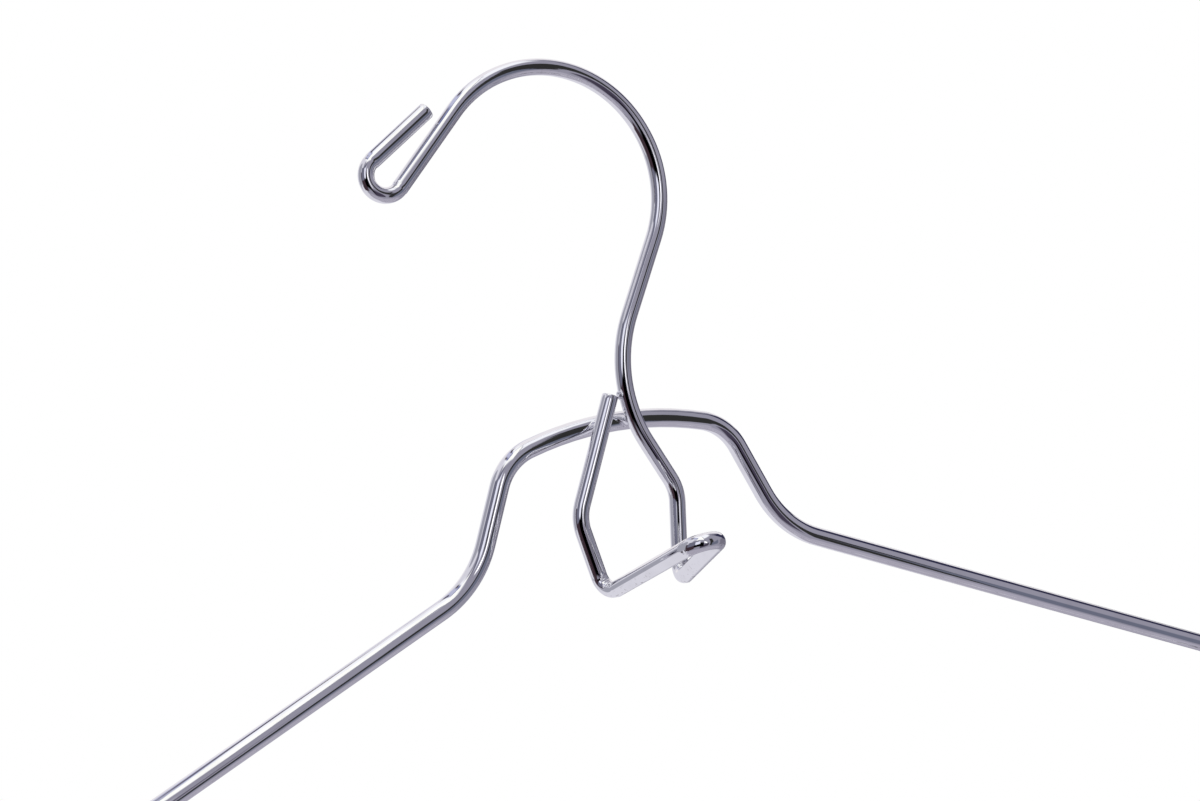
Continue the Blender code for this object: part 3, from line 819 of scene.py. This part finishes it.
def add_jaw(name, node_name, body, station, side, ear_outside):
    """A jaw of even sheet with its pivot hole and its sheared edges just broken."""
    grid = jaw_grid(ear_outside) * (1, side, 1) + station
    rows, columns = grid.shape[:2]
    faces = grid_faces(rows, columns)
    if side < 0:
        faces = faces[:, ::-1]
    piece = new_piece(name, grid, faces, SHEET_CHROME, merge=SHEET_MERGE)
    wall = piece.modifiers.new("sheet", "SOLIDIFY")
    wall.thickness = SHEET
    wall.offset = 0
    wall.use_quality_normals = True
    bpy.ops.mesh.primitive_cylinder_add(
        vertices=HOLE_SIDES, radius=TUBE_OUTSIDE + SEAT_GAP, depth=4 * REAR_EAR_OUTSIDE,
        location=station, rotation=(0, math.radians(90), 0))
    punch = bpy.context.object
    hole = piece.modifiers.new("hole", "BOOLEAN")
    hole.operation = "DIFFERENCE"
    hole.object = punch
    bpy.context.view_layer.update()
    settle(piece)
    bpy.data.objects.remove(punch)
    edges = piece.modifiers.new("edges", "BEVEL")
    edges.width = SHEARED_EDGE
    edges.segments = 2
    edges.limit_method = "ANGLE"
    edges.angle_limit = math.radians(50)
    settle(piece)
    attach(piece, body)
    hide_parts(node_name)


def add_tube(name, node_name, body, station):
    """The hollow rivet: a turned profile, bore and barrel, with a rolled flange at each end."""
    rolled = np.radians(np.arange(-90, 91, 15))
    lip = TUBE_FLANGE_THICKNESS / 2
    tip = TUBE_OUTSIDE + TUBE_FLANGE_HEIGHT - lip
    middle = FLANGE_INSIDE + lip
    curl = np.stack([tip + lip * np.cos(rolled), middle + lip * np.sin(rolled)], axis=1)
    mouth_turn = np.radians(np.arange(90, 181, 15))
    mouth = np.stack([TUBE_BORE + lip * 2 + lip * 2 * np.cos(mouth_turn),
                      TUBE_END - lip * 2 + lip * 2 * np.sin(mouth_turn)], axis=1)
    fillet, inner_ring = 0.0001, 0.004
    barrel = np.array([(TUBE_OUTSIDE, 0.0), (TUBE_OUTSIDE, FLANGE_INSIDE - fillet),
                       (TUBE_OUTSIDE + fillet, FLANGE_INSIDE)])
    half = np.concatenate([barrel, curl, mouth, [(TUBE_BORE, inner_ring), (TUBE_BORE, 0.0)]])
    other = half[::-1][1:-1] * (1, -1)
    profile = np.concatenate([half, other])
    turn = np.linspace(0, 2 * math.pi, TUBE_SIDES, endpoint=False)[None, :, None]
    radius = profile[:, None, :1]
    grid = np.concatenate([profile[:, None, 1:] + 0 * turn, radius * np.cos(turn),
                           radius * np.sin(turn)], axis=2) + station
    faces = grid_faces(len(profile), TUBE_SIDES, ring_rows=True, ring_columns=True)
    piece = new_piece(name, grid, faces, RIVET)
    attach(piece, body)
    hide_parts(node_name)


def spring_path():
    """Points, tangents and length of a torsion spring: a leg, the coil's helix, the other leg.

    A leg leaves the coil on its tangent, at the lean that lets its end lie against the tab.
    """
    lean = math.radians(TAB_LEAN)
    tab_distance = JAW_INSIDE * math.cos(lean) - TAB_ROOT_UP * math.sin(lean)
    seat = tab_distance - SPRING_WIRE / 2 - SEAT_GAP
    leg_angle = math.atan2(SPRING_LEG, SPRING_RADIUS)
    lean -= math.acos(seat / math.hypot(SPRING_RADIUS, SPRING_LEG)) - leg_angle
    start, end = lean - math.pi, 2 * math.pi * SPRING_TURNS - lean
    turns = (end - start) / (2 * math.pi)
    length = turns * (SPRING_WIRE + SPRING_COIL_GAP)
    share = np.linspace(0, 1, math.ceil(turns * 40) + 1)
    angle = start + (end - start) * share
    coil = np.stack([length * (share - 0.5), SPRING_RADIUS * np.cos(angle),
                     SPRING_RADIUS * np.sin(angle)], axis=1)
    reach = np.linspace(SPRING_LEG, 0, 14, endpoint=False)[:, None]
    front = np.array([0, -math.sin(lean), math.cos(lean)])
    rear = np.array([0, math.sin(lean), math.cos(lean)])
    points = np.concatenate([coil[0] + front * reach, coil, coil[-1] + rear * reach[::-1]])
    tangents = np.gradient(points, along(points), axis=0)
    return points, tangents / np.linalg.norm(tangents, axis=1)[:, None], length


def add_spring(name, node_name, station):
    """The torsion spring, wound from its front leg to its rear leg."""
    points, tangents, length = spring_path()
    grid, flow = wire_grid(points, tangents, SPRING_WIRE, SPRING_SIDES, start=(1, 0, 0))
    grid, flow = cut_ends(grid, flow, tangents, SPRING_WIRE)
    piece = ringed_piece(name, grid + station, SPRING, flow)
    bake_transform(piece)
    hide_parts(node_name)


def add_boot(name, node_name, body, station, side):
    """A vinyl boot: a soft skin over the jaw's lip, open at the top, with a grooved grip face.

    Rings go up the outside from the sole, over the rim and down the pocket. A ring is a rectangle
    with round corners: half its length times a low power of the angle's cosine, and half its
    depth times the same power of the sine.
    """
    back = LIP_INSIDE + SHEET + SEAT_GAP + PAD_WALL
    grip = SEAT_GAP / 2
    sole = -(LIP_DROP + SEAT_GAP + PAD_WALL)
    top = -PAD_TOP_DROP
    shoulder = top - PAD_ROUNDING
    half_depth = (back - grip) / 2
    middle = (back + grip) / 2
    half_length = MOUTH_HALF_WIDTH + SEAT_GAP + PAD_WALL
    rings = []  # half length, half depth, height and 1 where the grip face has its grooves
    for turn in np.radians(np.arange(0, 91, 11.25)):
        inset = PAD_SOLE_ROUNDING * (1 - math.sin(turn))
        rings.append((half_length - inset, half_depth - inset,
                      sole + PAD_SOLE_ROUNDING * (1 - math.cos(turn)), 0))
    for up in np.linspace(sole + PAD_SOLE_ROUNDING, shoulder, BOOT_ROWS)[1:]:
        rings.append((half_length, half_depth, up, 1))
    for turn in np.radians(np.arange(15, 181, 15)):
        inset = PAD_RIM * (1 - math.cos(turn))
        rings.append((half_length - inset, half_depth - inset,
                      shoulder + PAD_RIM * 2 * math.sin(turn), 0))
    slit = half_depth - 2 * PAD_RIM
    rings.append((half_length - PAD_WALL * 0.9, slit, shoulder - PAD_POCKET / 2, 0))
    rings.append((half_length - PAD_WALL, slit, shoulder - PAD_POCKET, 0))
    rings = np.array(rings)

    turn = np.linspace(0, 2 * math.pi, BOOT_SIDES, endpoint=False) + math.pi / BOOT_SIDES
    cosine, sine = np.cos(turn), np.sin(turn)
    x = rings[:, 0, None] * (np.sign(cosine) * np.abs(cosine) ** PAD_SQUARENESS)
    y = rings[:, 1, None] * (np.sign(sine) * np.abs(sine) ** PAD_SQUARENESS)
    z = np.repeat(rings[:, 2, None], BOOT_SIDES, axis=1)
    on_grip_face = np.clip((-y - half_depth * 0.97) / (half_depth * 0.03), 0, 1)
    inside_ends = eased((MOUTH_HALF_WIDTH - np.abs(x)) / 0.0006)
    pitch = (top - sole) / (PAD_GROOVES + 1)
    groove = np.zeros_like(z)
    for k in range(1, PAD_GROOVES + 1):
        groove += np.clip(1 - np.abs(z - (sole + pitch * k)) / (PAD_GROOVE / 2), 0, 1)
    y = y + on_grip_face * inside_ends * rings[:, 3, None] * groove * PAD_GROOVE / 2
    grid = np.stack([x, side * (middle + y), z], axis=-1) + station
    piece = ringed_piece(name, grid, VINYL)
    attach(piece, body)
    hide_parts(node_name)


bar_up = frame_wire_path()[0][:, 2].min()
for label, way in (("left", -1), ("right", 1)):
    station = np.array([BRIDGE[0] + way * CLIP_STATION, FRAME_PLANE, bar_up])
    slider, rear, front = label + "_slider", label + "_rear", label + "_front"
    add_tube(label + "_rivet", label + "_pivot_tube", slider, station)
    add_jaw(label + "_rear_pressing", label + "_rear_jaw", rear, station, 1, REAR_EAR_OUTSIDE)
    add_jaw(label + "_front_pressing", label + "_front_jaw", front, station, -1, FRONT_EAR_OUTSIDE)
    add_spring(label + "_torsion_spring", label + "_spring", station)
    add_boot(label + "_rear_boot", label + "_rear_pad", rear, station, 1)
    add_boot(label + "_front_boot", label + "_front_pad", front, station, -1)


# Studio

CAMERA_AT = (-0.16956, -0.35821, -0.05932)
CAMERA_AIM = (0.00461, 0.0, -0.06706)
CAMERA_ROLL = 8.28
CAMERA_LENS = 58.62
FLOOR_UP = -0.27
FLOOR_RADIUS = 6.0
SHADOW_REACH = 0.45
GLOW_UNDER_HANGER = 0.4

# Studio panels, painted one over the other: their places, half sizes and soft edges in degrees,
# with azimuth from +Y towards +X, as PANEL_INPUTS names them, and the colour that each glows in.
PANEL_INPUTS = ("Middle", "Height", "Half Width", "Half Height", "Side Softness", "Edge Softness",
                "Slope", "Bend")
ROOM = (0.31, 0.30, 0.37)
PANELS = {
    "sweep below": ((-14, -66, 182, 25), (4, 2), (0.02, -0.0006), (0.42, 0.40, 0.48)),
    "backdrop": ((-39, 4, 69, 73), (14, 2), (-0.25, 0.0093), (0.73, 0.72, 0.79)),
    "grey wall right": ((67, -5, 39, 18), (4, 6), (-0.28, -0.0010), (0.19, 0.18, 0.23)),
    "dark beam right": ((78, 21, 26, 16), (3, 2), (0.66, 0.0133), (0.03, 0.03, 0.07)),
    "dark doorway": ((152, -4, 8, 34), (2, 2), (0.41, 0.0199), (0.03, 0.03, 0.03)),
    "dark corner": ((-174, -30, 20, 16), (2, 10), (-0.33, 0.0087), (0.06, 0.05, 0.08)),
    "blue corner": ((134, -19, 16, 16), (2, 8), (-0.52, 0.0005), (0.15, 0.16, 0.22)),
    "camera and stand": ((-132, -3, 39, 22), (2, 12), (-0.11, -0.0085), (0.00, 0.00, 0.00)),
    "brown floor": ((-99, -8, 26, 28), (8, 2), (0.08, 0.0016), (0.05, 0.03, 0.04)),
    "grey flag": ((-119, 18, 29, 19), (14, 3), (-0.19, 0.0037), (0.16, 0.16, 0.22)),
    "grey wall left": ((-56, 16, 25, 28), (7, 2), (-0.20, -0.0200), (0.37, 0.37, 0.43)),
    "window behind": ((-142, 16, 12, 13), (2, 5), (-0.10, 0.0200), (0.87, 0.88, 1.01)),
    "softbox above": ((4, 94, 178, 25), (2, 11), (0.03, -0.0008), (1.01, 1.02, 1.06)),
    "lavender edge": ((-83, 69, 55, 6), (6, 2), (0.00, -0.0023), (0.19, 0.21, 0.38)),
    "dark edge": ((-38, 62, 37, 6), (4, 2), (-0.19, -0.0009), (0.09, 0.06, 0.04)),
    "white wall": ((27, 51, 39, 46), (3, 2), (0.00, 0.0079), (0.88, 0.85, 0.88)),
    "grey arc": ((-47, 64, 67, 4), (6, 2), (-0.31, -0.0038), (0.54, 0.55, 0.72)),
    "side softbox": ((-152, 67, 22, 19), (2, 7), (0.18, -0.0197), (1.13, 1.13, 1.08)),
    "white card behind": ((-179, 7, 6, 6), (2, 2), (1.05, -0.0098), (1.60, 1.60, 1.60)),
}


def add_camera():
    """The photograph's camera: from the left of the front, level, leaning a little to the right."""
    data = bpy.data.cameras.new("camera")
    data.lens = CAMERA_LENS
    data.sensor_width = 36.0
    data.sensor_fit = "HORIZONTAL"
    data.clip_start = 0.01
    camera = bpy.data.objects.new("camera", data)
    bpy.context.scene.collection.objects.link(camera)
    look = Vector(CAMERA_AIM) - Vector(CAMERA_AT)
    roll = Matrix.Rotation(math.radians(-CAMERA_ROLL), 3, "Z")
    turned = look.to_track_quat("-Z", "Y").to_matrix() @ roll
    camera.matrix_world = Matrix.Translation(CAMERA_AT) @ turned.to_4x4()
    bpy.context.scene.camera = camera


def soft_panel_group():
    """How much of a soft-edged studio panel lies in a direction.

    Away is the azimuth past the panel's middle, and the panel's height there is its middle
    height plus the slope times away plus the bend times away squared. The mask is the product of
    two smooth steps, one of away and one of the elevation past that height, each falling over
    its own softness.
    """
    number = "NodeSocketFloat"
    inputs = [(label, number) for label in ("Azimuth", "Elevation", *PANEL_INPUTS)]
    group, given, result = new_group("soft panel", inputs, [("Mask", number)])
    away = math_node(group, "SUBTRACT", given.outputs["Azimuth"], given.outputs["Middle"])
    away = math_node(group, "WRAP", away, 180.0, -180.0)
    height = math_node(group, "MULTIPLY_ADD", away, given.outputs["Bend"], given.outputs["Slope"])
    height = math_node(group, "MULTIPLY_ADD", away, height, given.outputs["Height"])
    over = math_node(group, "SUBTRACT", given.outputs["Elevation"], height)
    masks = []
    for distance, half, soft in ((away, "Half Width", "Side Softness"),
                                 (over, "Half Height", "Edge Softness")):
        past = math_node(group, "ABSOLUTE", distance)
        past = math_node(group, "SUBTRACT", past, given.outputs[half])
        share = math_node(group, "DIVIDE", past, given.outputs[soft])
        masks.append(spread(group, share, -0.5, 0.5, 1.0, 0.0))
    group.links.new(math_node(group, "MULTIPLY", *masks), result.inputs["Mask"])
    return group


def add_studio_light():
    """A studio of soft panels, which lights the hanger and which its chrome mirrors.

    A direction's azimuth is the angle of its X and Y from +Y, and its elevation the arcsine of
    its Z. The camera itself sees plain white.
    """
    world = bpy.data.worlds.new("studio")
    bpy.context.scene.world = world
    world.use_nodes = True
    tree = world.node_tree
    background = tree.nodes["Background"]
    way = node(tree, "ShaderNodeTexCoord").outputs["Generated"]
    parts = node(tree, "ShaderNodeSeparateXYZ")
    tree.links.new(way, parts.inputs[0])
    turn = math_node(tree, "ARCTAN2", parts.outputs["X"], parts.outputs["Y"])
    azimuth = math_node(tree, "DEGREES", turn)
    elevation = math_node(tree, "DEGREES", math_node(tree, "ARCSINE", parts.outputs["Z"]))
    group = soft_panel_group()
    colour = (*ROOM, 1.0)
    for *shape, paint in PANELS.values():
        panel = node(tree, "ShaderNodeGroup", node_tree=group)
        tree.links.new(azimuth, panel.inputs["Azimuth"])
        tree.links.new(elevation, panel.inputs["Elevation"])
        for label, value in zip(PANEL_INPUTS, sum(shape, ())):
            panel.inputs[label].default_value = value
        colour = blended(tree, panel.outputs["Mask"], colour, (*paint, 1.0))
    seen = node(tree, "ShaderNodeLightPath").outputs["Is Camera Ray"]
    shown = blended(tree, seen, colour, (1.0, 1.0, 1.0, 1.0))
    tree.links.new(shown, background.inputs["Color"])


def add_floor():
    """A plain white floor that keeps the hanger's shadow and that mirrors leave to the studio.

    Paper under the hanger fades with distance into the white of the background.
    """
    bpy.ops.mesh.primitive_circle_add(vertices=96, radius=FLOOR_RADIUS, fill_type="NGON",
                                      location=(0, 0, FLOOR_UP))
    floor = bpy.context.object
    floor.name = "floor"
    material = bpy.data.materials.new("white floor")
    material.use_nodes = True
    tree = material.node_tree
    tree.nodes.clear()
    output = node(tree, "ShaderNodeOutputMaterial")
    paper = node(tree, "ShaderNodeBsdfDiffuse")
    paper.inputs["Color"].default_value = (0.88, 0.88, 0.88, 1.0)
    glow = node(tree, "ShaderNodeEmission")
    glow.inputs["Strength"].default_value = 1.0
    clear = node(tree, "ShaderNodeBsdfTransparent")
    path = node(tree, "ShaderNodeLightPath")
    distance = node(tree, "ShaderNodeVectorMath", operation="LENGTH")
    tree.links.new(node(tree, "ShaderNodeTexCoord").outputs["Object"], distance.inputs[0])
    white = spread(tree, distance.outputs["Value"], SHADOW_REACH / 2, SHADOW_REACH,
                   GLOW_UNDER_HANGER, 1.0)
    white = math_node(tree, "MULTIPLY", path.outputs["Is Camera Ray"], white)
    surface = paper.outputs[0]
    for share, other in ((white, glow), (path.outputs["Is Glossy Ray"], clear)):
        mixed = node(tree, "ShaderNodeMixShader")
        for source, socket in zip((share, surface, other.outputs[0]), mixed.inputs):
            tree.links.new(source, socket)
        surface = mixed.outputs[0]
    tree.links.new(surface, output.inputs["Surface"])
    floor.data.materials.append(material)


def add_lamp(name, place, size, watts):
    """A square soft box aimed at the hanger, which mirrors don't show."""
    data = bpy.data.lights.new(name, "AREA")
    data.size = size
    data.energy = watts
    lamp = bpy.data.objects.new(name, data)
    bpy.context.scene.collection.objects.link(lamp)
    lamp.location = place
    lamp.rotation_euler = (Vector((0, 0, -0.1)) - Vector(place)).to_track_quat("-Z", "Y").to_euler()
    lamp.visible_glossy = False
    lamp.visible_camera = False


add_camera()
add_studio_light()
add_floor()
add_lamp("soft box above", place=(-0.4, -0.5, 1.4), size=0.5, watts=20.0)
bpy.context.scene.view_settings.view_transform = "Standard"
